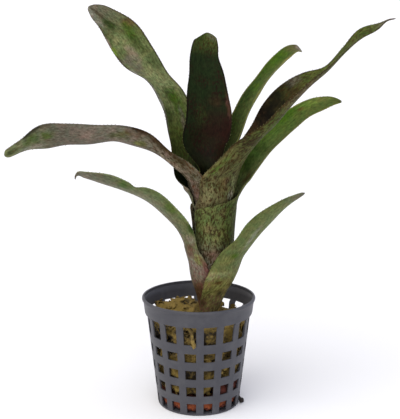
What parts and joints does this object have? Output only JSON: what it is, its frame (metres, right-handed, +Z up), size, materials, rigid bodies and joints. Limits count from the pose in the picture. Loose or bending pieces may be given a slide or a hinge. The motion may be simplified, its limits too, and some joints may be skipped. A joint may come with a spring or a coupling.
{
  "type": "bromeliad in a net pot",
  "caption": "Young bromeliad whose strap leaves rise from a tube of nested sheaths, rooted in fibre in a small open-sided net pot that stands on its base.",
  "frame": {"origin": "centre of the net pot's base, on the surface it stands on", "axes": "+Z up; the picture's viewer stands at -Y and looks along +Y, with +X to the viewer's right"},
  "size_m": [0.1723, 0.0802, 0.1928],
  "materials": {
    "pot_plastic": "satin",
    "clay": "matte",
    "fibre": "matte",
    "root_bark": "matte",
    "leaf": "satin"
  },
  "bodies": {
    "root": {"net_pot": "pot_plastic", "clay_pebbles": "clay", "growing_medium": "fibre", "stem_and_root": "root_bark", "leaf_1": "leaf", "leaf_2": "leaf", "leaf_3": "leaf", "leaf_4": "leaf", "leaf_5": "leaf", "leaf_6": "leaf", "leaf_7": "leaf", "leaf_8": "leaf"}
  },
  "joints": []
}
